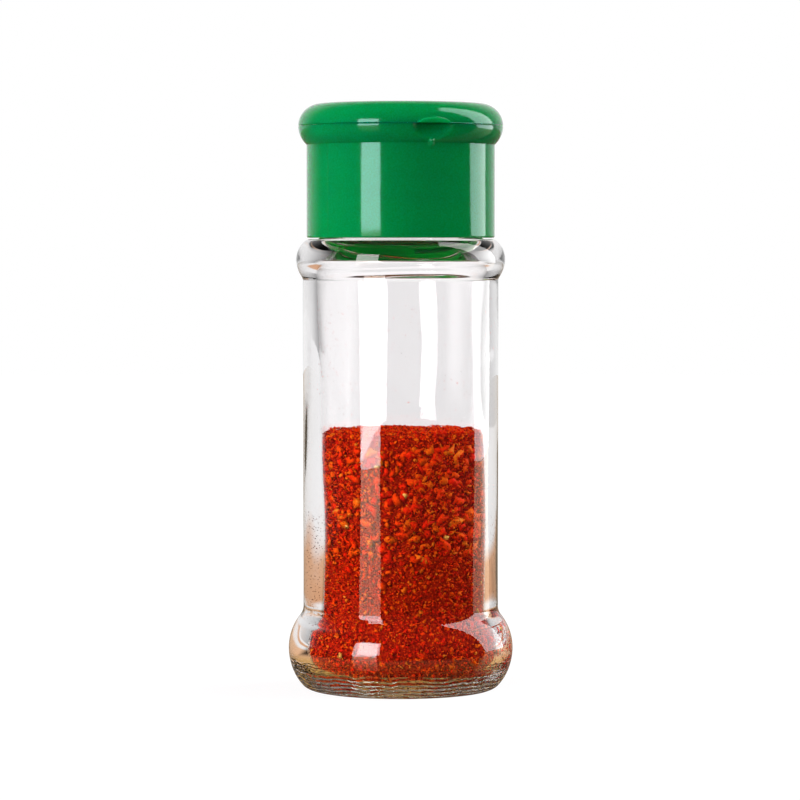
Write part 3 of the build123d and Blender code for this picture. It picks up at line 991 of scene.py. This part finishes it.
bed = lathe(
    "chilliBed", chilliOutline(), evenly(chilliSizes["bedSegments"]), bedMaterial, bedShape, smoothAngle=80
)
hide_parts("spice_fill")
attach(bed, "jar")


# a chip's shape, in shares of its size: how uneven its rim is, and where its two middles lie
chipSizes = {
    "turnJitter": 0.3, "radius": (0.3, 0.56), "stretch": (1.0, 1.7), "rimJitter": 0.05, "curlSink": 0.1,
    "over": (0.03, 0.02), "under": (-0.02, -0.03), "flattest": 0.6, "curlStep": 0.3,
}


def chipMesh(name, seed, corners, thickness, curl):
    # one irregular chip about 1 unit across: a thin curled plate, or a lump where it is thick
    s = chipSizes
    draw = np.random.default_rng(seed)
    turns = np.arange(corners) * 2 * pi / corners + draw.uniform(-s["turnJitter"], s["turnJitter"], corners)
    radii = draw.uniform(*s["radius"], corners)
    stretch = draw.uniform(*s["stretch"])
    rim = [(cos(t) * r * stretch, sin(t) * r) for t, r in zip(turns, radii)]
    sink, jitter = s["curlSink"], s["rimJitter"]
    verts = [(x, y, curl * (x * x - sink) + draw.uniform(-jitter, jitter)) for x, y in rim]
    verts += [(*s["over"], thickness / 2 - curl * sink), (*s["under"], -thickness / 2 - curl * sink)]
    faces = []
    for i in range(corners):
        j = (i + 1) % corners
        faces += [(i, j, corners), (j, i, corners + 1)]
    mesh = bpy.data.meshes.new(name)
    mesh.from_pydata(verts, [], faces)
    return bpy.data.objects.new(name, mesh)


def scatterTree(name, shapes, values, material):
    # a number of shapes scattered over a surface, with random turns, sizes and tints
    tree, given, wanted = geometryTree(name, values)

    def draw(low, high, shift):
        seed = mathNode(tree, "ADD", given["seed"], float(shift))
        return addNode(
            tree, "FunctionNodeRandomValue", {"data_type": "FLOAT"}, i2=low, i3=high, Seed=seed
        ).outputs[1]

    points = addNode(
        tree, "GeometryNodeDistributePointsOnFaces", Mesh=given["Geometry"], Seed=given["seed"],
        Density=mathNode(tree, "DIVIDE", given["count"], given["area"]),
    ).outputs
    source = addNode(
        tree, "GeometryNodeCollectionInfo", Collection=shapes, Separate_Children=True, Reset_Children=True
    )
    smallest = mathNode(tree, "SUBTRACT", 1.0, given["sizeSpread"])
    largest = mathNode(tree, "ADD", 1.0, given["sizeSpread"])
    scale = mathNode(tree, "MULTIPLY", draw(smallest, largest, 1), given["size"])
    lean = mathNode(tree, "MULTIPLY", given["tilt"], -1.0)
    spin = addNode(
        tree, "ShaderNodeCombineXYZ", X=draw(lean, given["tilt"], 2), Y=draw(lean, given["tilt"], 3),
        Z=draw(0.0, 2 * pi, 4),
    )
    turned = addNode(
        tree, "FunctionNodeRotateRotation", {"rotation_space": "LOCAL"}, Rotation=points["Rotation"],
        Rotate_By=spin.outputs[0],
    )
    outward = addNode(
        tree, "ShaderNodeVectorMath", {"operation": "SCALE"}, i0=points["Normal"], Scale=given["lift"]
    )
    lifted = addNode(
        tree, "GeometryNodeSetPosition", Geometry=points["Points"], Offset=outward.outputs["Vector"]
    )
    placed = addNode(
        tree, "GeometryNodeInstanceOnPoints", Points=lifted.outputs[0], Instance=source.outputs[0],
        Pick_Instance=True, Rotation=turned.outputs[0], Scale=scale,
    )
    tinted = addNode(
        tree, "GeometryNodeStoreNamedAttribute", {"data_type": "FLOAT", "domain": "INSTANCE"},
        Geometry=placed.outputs[0], Name="tint", Value=draw(given["tintLow"], given["tintHigh"], 5),
    )
    return finishTree(tree, tinted.outputs[0], wanted, material)


def pressInside(piece, gap):
    # draws every point that reaches the glass back to a gap inside it, as flakes lie against the wall, and
    # moves the piece with the cavity
    fromR = chilliSizes["wallFromR"]    # leaves out the middle of the floor
    wall = sorted((point.y, point.x) for point in cavityOutline(gap) if point.x > fromR)
    points = np.empty(len(piece.data.vertices) * 3)
    piece.data.vertices.foreach_get("co", points)
    points = points.reshape(-1, 3) / mm
    reach = np.hypot(points[:, 0], points[:, 1])
    limit = np.interp(points[:, 2], [z for z, r in wall], [r for z, r in wall])
    points[:, :2] *= np.minimum(1, limit / np.maximum(reach, 1e-9))[:, None]
    points[:, 2] = np.maximum(points[:, 2], glassSizes["floorZ"] + gap + chilliSizes["floorGap"])
    piece.data.vertices.foreach_set("co", (points * mm).ravel())
    piece.data.transform(Matrix.Translation(cavityShift))
    piece.data.update()


def surfacePatch(source, heights):
    # the faces of a mesh whose middles lie between two heights, as a mesh to scatter on
    patch = source.copy()
    work = bmesh.new()
    work.from_mesh(patch)
    low, high = heights[0] * mm, heights[1] * mm
    outside = [face for face in work.faces if not low < face.calc_center_median().z < high]
    bmesh.ops.delete(work, geom=outside, context="FACES")
    work.to_mesh(patch)
    work.free()
    return patch


def scatterPiece(name, layer, material, source, sizes, place):
    # one layer, as one piece; its place among the layers gives its seeds
    seedShift = sizes["firstSeed"] + sizes["seedStep"] * place
    collection = bpy.data.collections.new(name + "Shapes")
    shapes = []
    for i in range(sizes["shapeCount"]):
        curl = layer["curl"] * (chipSizes["flattest"] + chipSizes["curlStep"] * i)
        seed = seedShift + i
        shapes.append(chipMesh(f"{name}Shape{i}", seed, layer["corners"], layer["thickness"], curl))
        collection.objects.link(shapes[-1])
    ground = surfacePatch(source, layer["heights"])
    values = {key: layer[key] for key in ("count", "sizeSpread", "tilt", "tintLow", "tintHigh")}
    values |= {"size": layer["size"] * mm, "lift": layer["lift"] * mm}
    values |= {"area": sum(face.area for face in ground.polygons), "seed": chilliSizes["seed"] + seedShift}
    piece = grownPiece(name, scatterTree(name + "Tree", collection, values, material), values, ground)
    pressInside(piece, sizes["glassGap"])
    piece.data.shade_smooth()
    for shape in shapes:
        bpy.data.objects.remove(shape)
    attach(piece, "jar")
    print(name, "scattered,", len(piece.data.polygons), "faces")


for place, (name, layer) in enumerate(chilliLayers.items()):
    material = seedMaterial if name == "chilliSeeds" else flakeMaterial
    scatterPiece(name, layer, material, bed.data, chilliSizes, place)
bed.data.transform(Matrix.Translation(cavityShift))

# Dust that clings to the inside of the glass, half sunk in it so that it shows through the thick wall
dustSizes = {"segments": 96, "shapeCount": 2, "glassGap": -0.15, "firstSeed": 300, "seedStep": 20}
dustLayers = {
    "dustLow": {
        "count": 4500, "size": 0.24, "sizeSpread": 0.5, "tilt": 1.5, "lift": 0.0, "heights": (3, 36),
        "tintLow": -0.12, "tintHigh": 0.06, "corners": 3, "thickness": 0.5, "curl": 0.0,
    },
    "dustHigh": {
        "count": 900, "size": 0.18, "sizeSpread": 0.5, "tilt": 1.5, "lift": 0.0, "heights": (36, 78),
        "tintLow": 0.0, "tintHigh": 0.6, "corners": 3, "thickness": 0.5, "curl": 0.0,
    },
}
dustOutline = cavityOutline()[::-1] + [at(0, glassHigh.z)]
dustGround = lathe("dustGround", dustOutline, evenly(dustSizes["segments"]), None)
for place, (name, layer) in enumerate(dustLayers.items()):
    scatterPiece(name, layer, flakeMaterial, dustGround.data, dustSizes, place)
bpy.data.objects.remove(dustGround)


# Stage: floor, lights and camera

viewSizes = {
    "azimuth": 18.4, "distance": 686.0, "height": 89.3, "aimSide": -0.14, "aimZ": 57.55,
    "lens": 155.0, "sensor": 36.0,
}
viewAngle = radians(viewSizes["azimuth"])
viewWay = Vector((-sin(viewAngle), -cos(viewAngle), 0))    # from the jar to the camera, level
viewSide = Vector((cos(viewAngle), -sin(viewAngle), 0))    # to the photograph's right


def mirroredRay(tree):
    # 1 for a ray that some surface has mirrored, outside or within the glass
    return mathNode(tree, "GREATER_THAN", addNode(tree, "ShaderNodeLightPath").outputs["Glossy Depth"], 0.5)


def turnRange(tree, facing, turnFrom, turnTo, valueFrom, valueTo):
    # from one value to another as a direction turns away from the camera's line, in degrees
    return mapRange(tree, facing, cos(radians(turnTo)), cos(radians(turnFrom)), valueTo, valueFrom)


floorLook = {
    "colour": (0.88, 0.88, 0.88), "roughness": 0.9, "shine": 0.1, "radius": 1.6, "segments": 96,
    # to the camera: how much of it is plain white near the jar, and where that grows to all of it
    "nearShare": 0.84, "nearFrom": 0.03, "nearTo": 0.09, "whiteStrength": 1.06,
    # in reflections: a polished table; and how much of the light on it isn't thrown back
    "tableColour": (0.04, 0.03, 0.025), "sheenColour": (0.66, 0.53, 0.38), "sheenRoughness": 0.03,
    "ior": 1.5, "bounceLoss": 0.85,
    # through the glass: straight behind the jar, and brighter beside it, by turn in degrees
    "ahead": 0.95, "beside": 1.14, "besideFrom": 3, "besideTo": 9,
    # mirrored within the glass: bright behind the jar and close under it, dim in front
    "lit": 0.95, "frontDim": 0.03, "rearFrom": 0.38, "rearTo": 0.64, "closeFrom": 0.035, "closeTo": 0.06,
    # a painted warm glow that shows through the thick glass of the foot and walls: how far out from the axis
    # it reaches, and its colours by share of that
    "glowPaintReach": 0.5,
    "nearGlowPaint": [
        (0.05, (0.66, 0.38, 0.1)), (0.1, (0.97, 0.57, 0.34)), (0.18, (0.88, 0.55, 0.34)), (0.22, (1, 1, 1)),
    ],
    "farGlowPaint": [
        (0.31, (1, 1, 1)), (0.38, (0.75, 0.4, 0.22)), (0.6, (0.78, 0.44, 0.26)), (0.72, (1, 1, 1)),
    ],
}


def floorMaterial():
    # white to the camera but for the jar's soft shadow, a painted warm glow through the glass of the foot,
    # and a dark polished table in the jar's reflections
    look = floorLook
    material, tree, shader = nodeMaterial("paleFloor", look["colour"])
    setInputs(tree, shader, Roughness=look["roughness"], Specular_IOR_Level=look["shine"])
    path, mirrored = addNode(tree, "ShaderNodeLightPath").outputs, mirroredRay(tree)
    place = objectPlace(tree)
    far = vectorMath(tree, "LENGTH", place, output="Value")
    # to the camera
    fade = mapRange(tree, far, look["nearFrom"], look["nearTo"], look["nearShare"], 1.0)
    white = addNode(tree, "ShaderNodeEmission", Color=(1, 1, 1, 1), Strength=look["whiteStrength"])
    seen = mixShaders(tree, mathNode(tree, "MULTIPLY", fade, path["Is Camera Ray"]), shader, white)
    # through the glass: the floor's painted warm glow, brighter beside the jar
    behind = vectorMath(tree, "DOT_PRODUCT", place, -viewWay, output="Value")
    facing = mathNode(tree, "DIVIDE", behind, far)
    plain = turnRange(tree, facing, look["besideFrom"], look["besideTo"], look["ahead"], look["beside"])
    rear = mapRange(tree, facing, look["rearFrom"], look["rearTo"], look["frontDim"], look["lit"])
    close = mapRange(tree, far, look["closeFrom"], look["closeTo"], look["lit"], look["frontDim"])
    level = choose(tree, mirrored, plain, mathNode(tree, "MAXIMUM", rear, close))
    outward = mathNode(tree, "DIVIDE", far, look["glowPaintReach"])
    warm = addNode(
        tree, "ShaderNodeMix", {"data_type": "RGBA", "blend_type": "MULTIPLY"}, i0=mirrored,
        i6=colourRamp(tree, outward, look["nearGlowPaint"]), i7=colourRamp(tree, outward, look["farGlowPaint"]),
    )
    # painted glow: the floor gives off this warm light only to rays through the glass
    paintedGlow = addNode(tree, "ShaderNodeEmission", Color=warm.outputs[2], Strength=level)
    seen = mixShaders(tree, path["Is Transmission Ray"], seen, paintedGlow)
    # in reflections
    top = addNode(tree, "ShaderNodeBsdfDiffuse", Color=(*look["tableColour"], 1))
    sheen = addNode(
        tree, "ShaderNodeBsdfGlossy", Color=(*look["sheenColour"], 1), Roughness=look["sheenRoughness"]
    )
    glance = addNode(tree, "ShaderNodeFresnel", IOR=look["ior"]).outputs["Fac"]
    polished = mixShaders(tree, glance, top, sheen)
    direct = mathNode(tree, "SUBTRACT", mirrored, path["Is Transmission Ray"], clamp=True)
    share = mathNode(tree, "MULTIPLY_ADD", path["Is Diffuse Ray"], look["bounceLoss"], direct, clamp=True)
    final = mixShaders(tree, share, seen, polished)
    setInputs(tree, tree.nodes["Material Output"], Surface=final.outputs[0])
    return material


def buildFloor():
    work = bmesh.new()
    radius, segments = floorLook["radius"], floorLook["segments"]
    bmesh.ops.create_circle(work, cap_ends=True, segments=segments, radius=radius)
    mesh = bpy.data.meshes.new("floor")
    work.to_mesh(mesh)
    work.free()
    mesh.materials.append(floorMaterial())
    floor = sceneObject("floor", mesh)


worldLook = {
    # as light, and in reflections: the dim room and its backdrop
    "diffuse": 0.26, "glossy": 0.04, "glossyBehind": 0.85, "behindFrom": 0.35,
    # through the glass: straight behind the jar, brighter beside it and dim to its sides, by turn in degrees
    "through": 0.97, "beside": 1.16, "besideFrom": 3, "besideTo": 9,
    "side": 0.15, "sideFrom": 13, "sideTo": 42,
    # mirrored within the glass: nearly black in front, lighter towards the back
    "inner": 0.015, "innerFrom": 0.15, "innerTo": 1.2,
}


def buildWorld():
    # white to the camera; through the glass white behind the jar, brightest just beside it and grey to its
    # sides; in reflections a dim room with the white backdrop behind the jar
    look = worldLook
    world = bpy.data.worlds.new("studio")
    bpy.context.scene.world = world
    world.use_nodes = True
    tree = world.node_tree
    tree.nodes.clear()
    way = addNode(tree, "ShaderNodeTexCoord").outputs["Generated"]
    behind = vectorMath(tree, "DOT_PRODUCT", way, -viewWay, output="Value")
    facing = mathNode(tree, "ABSOLUTE", behind)
    beside = turnRange(tree, facing, look["besideFrom"], look["besideTo"], 0.0, 1.0)
    side = turnRange(tree, facing, look["sideFrom"], look["sideTo"], look["beside"], look["side"])
    through = choose(tree, beside, look["through"], side)
    within = mapRange(tree, behind, look["innerFrom"], look["innerTo"], look["inner"], look["through"])
    room = mapRange(tree, behind, look["behindFrom"], 1.0, look["glossy"], look["glossyBehind"])
    path, mirrored = addNode(tree, "ShaderNodeLightPath").outputs, mirroredRay(tree)
    strength = choose(tree, mirrored, look["diffuse"], room)
    strength = choose(tree, path["Is Transmission Ray"], strength, choose(tree, mirrored, through, within))
    strength = choose(tree, path["Is Diffuse Ray"], strength, look["diffuse"])
    strength = choose(tree, path["Is Camera Ray"], strength, 1.0)
    shine = addNode(tree, "ShaderNodeBackground", Color=(1, 1, 1, 1), Strength=strength)
    addNode(tree, "ShaderNodeOutputWorld", Surface=shine.outputs["Background"])


# light panels, each from a bottom to a top point: turn from the camera's direction (+ to the photograph's
# right), distance from the axis and height in metres; and whether reflections and the glass show them
lightPanels = {
    "leftBox": {
        "bottom": (-36.5, 0.8, -0.06), "top": (-36.5, 0.8, 0.43), "width": 0.34, "radiance": 8.8,
        "tint": (1, 1, 1), "mirrored": True, "throughGlass": True,
    },
    "leftPanel": {
        "bottom": (-80, 0.7, 0.0), "top": (-80, 0.7, 0.5), "width": 0.5, "radiance": 3.9,
        "tint": (1.3, 1.02, 1.25), "mirrored": False, "throughGlass": False,
    },
    "rightStrip": {
        "bottom": (112, 0.75, -0.05), "top": (84, 0.52, 1.15), "width": 0.4, "radiance": 4.5,
        "tint": (1, 1, 1), "mirrored": True, "throughGlass": False,
    },
}
topLight = {
    "height": 0.9, "width": 0.6, "radiance": 1.8, "tint": (1, 1, 1), "mirrored": False, "throughGlass": False,
}
lampAim = Vector((0, 0, 0.06))


def addLight(name, panel, length, location, up):
    # an area light that faces lampAim as far as its upright allows; its radiance holds whatever its size
    light = bpy.data.lights.new(name, "AREA")
    light.shape = "RECTANGLE"
    light.size, light.size_y = panel["width"], length
    light.energy = panel["radiance"] * pi * panel["width"] * length
    light.color = panel["tint"]
    lamp = sceneObject(name, light)
    away = (location - lampAim).normalized()
    away = (away - up * away.dot(up)).normalized()
    turn = Matrix((up.cross(away), up, away)).transposed()
    lamp.matrix_world = Matrix.Translation(location) @ turn.to_4x4()
    lamp.visible_camera = False
    lamp.visible_glossy = panel["mirrored"]
    lamp.visible_transmission = panel["throughGlass"]


def panelPoint(turn, distance, height):
    return Matrix.Rotation(radians(turn), 3, "Z") @ viewWay * distance + Vector((0, 0, height))


buildFloor()
buildWorld()
for name, panel in lightPanels.items():
    bottom, top = panelPoint(*panel["bottom"]), panelPoint(*panel["top"])
    addLight(name, panel, (top - bottom).length, (bottom + top) / 2, (top - bottom).normalized())
addLight("topLight", topLight, topLight["width"], Vector((0, 0, topLight["height"])), Vector((0, 1, 0)))

camera = bpy.data.cameras.new("camera")
camera.lens = viewSizes["lens"]
camera.sensor_width = viewSizes["sensor"]
camera.clip_start = 0.01
cameraObject = sceneObject("camera", camera)
eye = viewWay * viewSizes["distance"] * mm + Vector((0, 0, viewSizes["height"] * mm))
aim = viewSide * viewSizes["aimSide"] * mm + Vector((0, 0, viewSizes["aimZ"] * mm))
cameraObject.location = eye
cameraObject.rotation_euler = (eye - aim).to_track_quat("Z", "Y").to_euler()
bpy.context.scene.camera = cameraObject
bpy.context.scene.view_settings.view_transform = "Standard"
print("stage built")
